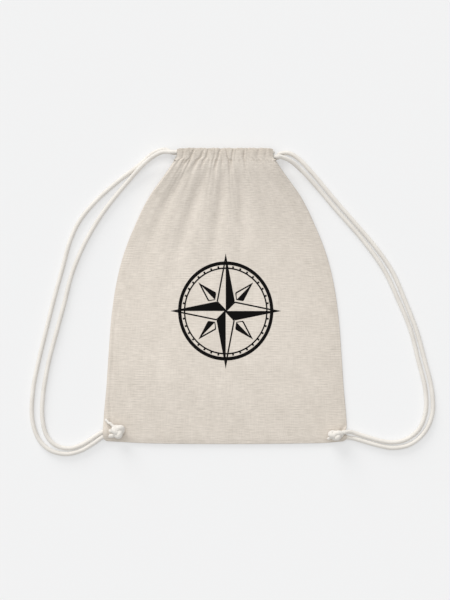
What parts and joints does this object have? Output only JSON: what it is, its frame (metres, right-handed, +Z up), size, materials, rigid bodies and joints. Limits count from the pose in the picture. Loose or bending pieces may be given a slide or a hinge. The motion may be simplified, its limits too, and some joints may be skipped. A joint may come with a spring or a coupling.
{
  "type": "drawstring backpack",
  "caption": "Flat natural cotton drawstring backpack with a gathered mouth and knotted cotton cords from mouth to lower corners.",
  "frame": {"origin": "under the middle of the bag's own box, on the surface that its back panel lies on", "axes": "+X across the bag to the right cord, +Y along the bag from its bottom edge to its gathered mouth, +Z up through its front panel"},
  "size_m": [0.6289, 0.4794, 0.0339],
  "materials": {
    "cotton_canvas": "unbleached plain-woven cotton canvas with slubs, matt",
    "cotton_cord": "soft cream cotton cord, matt"
  },
  "bodies": {
    "root": {"front_panel": "cotton_canvas", "back_panel": "cotton_canvas", "front_casing": "cotton_canvas", "back_casing": "cotton_canvas", "left_cord": "cotton_cord", "right_cord": "cotton_cord", "left_knot": "cotton_cord", "right_knot": "cotton_cord"}
  },
  "joints": []
}
